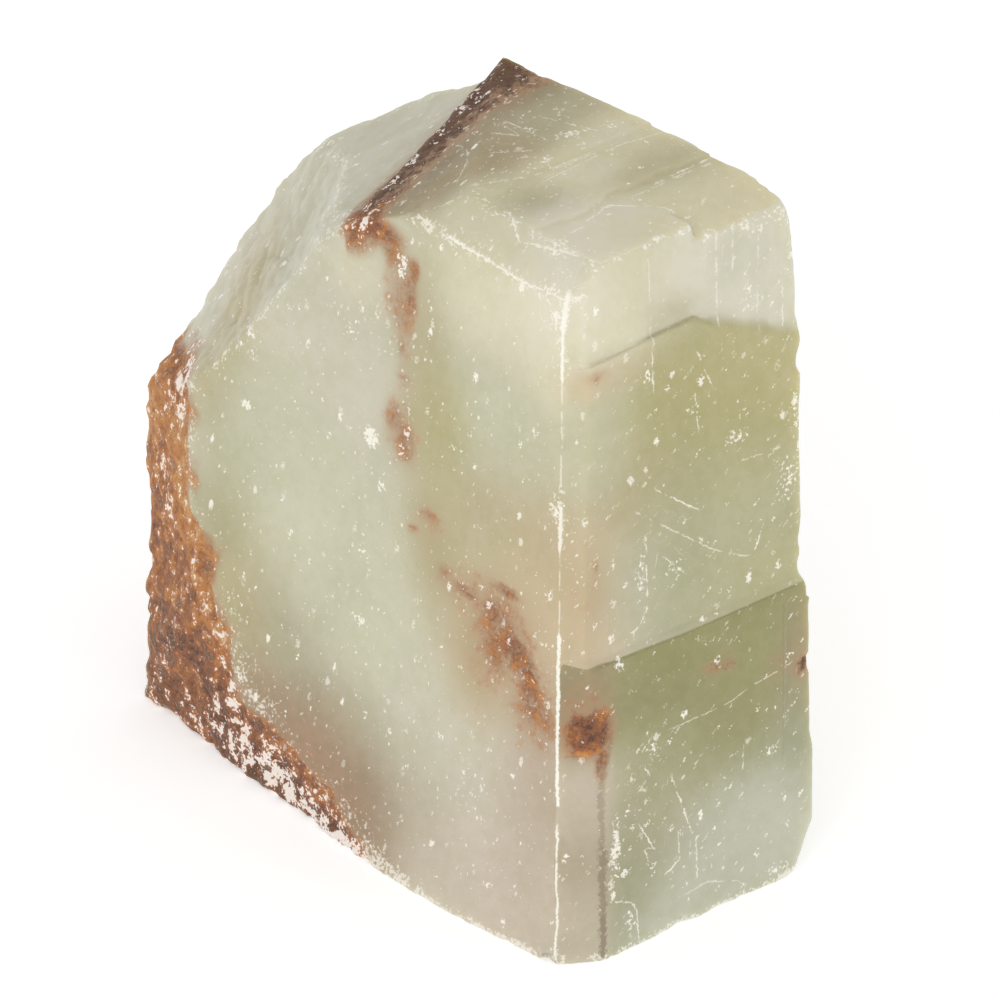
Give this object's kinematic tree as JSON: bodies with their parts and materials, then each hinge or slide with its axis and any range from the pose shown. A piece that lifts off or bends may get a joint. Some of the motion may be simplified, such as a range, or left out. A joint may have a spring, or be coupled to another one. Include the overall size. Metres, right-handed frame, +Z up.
{
  "type": "calcite cleavage block",
  "caption": "Free-standing broken cleavage block of cloudy green calcite with a rust-stained rim, resting on its flat lower face.",
  "frame": {"origin": "middle of the rectangle that the block covers seen from above, on the plane of its resting face", "axes": "+Z up, -Y towards the front cleavage edge between the wide left-hand face and the narrow right-hand face, +X to the right"},
  "size_m": [0.0686, 0.0652, 0.0694],
  "materials": {
    "calcite": "waxy to glassy cleavage faces, cloudy pale green, with rough rust-brown crust on the rim and the top ridge"
  },
  "bodies": {
    "root": {"calcite": "calcite"}
  },
  "joints": []
}
